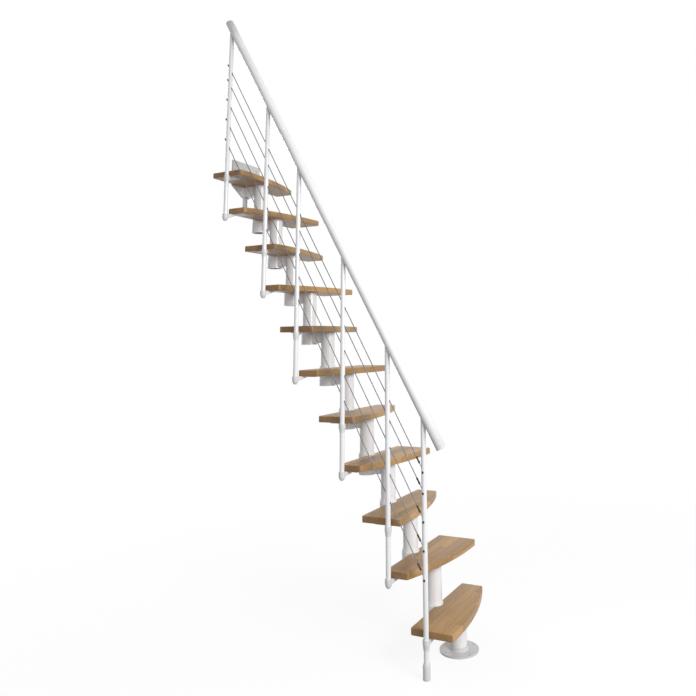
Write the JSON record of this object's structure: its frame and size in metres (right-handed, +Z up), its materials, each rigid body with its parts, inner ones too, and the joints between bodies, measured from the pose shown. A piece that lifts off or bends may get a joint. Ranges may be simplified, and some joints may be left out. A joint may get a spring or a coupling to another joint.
{
  "type": "space-saving staircase",
  "caption": "Steep straight staircase with alternating paddle-shaped wooden treads on a white central steel spine, a white handrail, slim posts and steel cables on the left.",
  "frame": {"origin": "centre of the base flange's underside, on the floor", "axes": "+X to the right going up, +Y the way up, towards the upper floor, +Z up"},
  "size_m": [0.637, 1.4973, 3.3715],
  "materials": {
    "oak": "satin lacquer",
    "white_paint": "gloss",
    "cable_steel": "stranded",
    "tensioner_black": "matte",
    "plug_brown": "matte"
  },
  "bodies": {
    "root": {"base_flange": "white_paint", "brackets_1": "white_paint", "brackets_2": "white_paint", "brackets_3": "white_paint", "brackets_4": "white_paint", "brackets_5": "white_paint", "brackets_6": "white_paint", "cable_1": "cable_steel", "cable_2": "cable_steel", "cable_3": "cable_steel", "cable_4": "cable_steel", "cable_5": "cable_steel", "cable_ends": "tensioner_black", "cable_tensioners": "tensioner_black", "handrail": "white_paint", "landing_plate": "white_paint", "post_1": "white_paint", "post_2": "white_paint", "post_3": "white_paint", "post_4": "white_paint", "post_5": "white_paint", "post_6": "white_paint", "post_foot": "white_paint", "rail_caps": "white_paint", "spine_01": "white_paint", "spine_02": "white_paint", "spine_03": "white_paint", "spine_04": "white_paint", "spine_05": "white_paint", "spine_06": "white_paint", "spine_07": "white_paint", "spine_08": "white_paint", "spine_09": "white_paint", "spine_10": "white_paint", "spine_11": "white_paint", "tread_01": "oak", "tread_02": "oak", "tread_03": "oak", "tread_04": "oak", "tread_05": "oak", "tread_06": "oak", "tread_07": "oak", "tread_08": "oak", "tread_09": "oak", "tread_10": "oak", "tread_11": "oak", "tread_plugs": "plug_brown"}
  },
  "joints": []
}
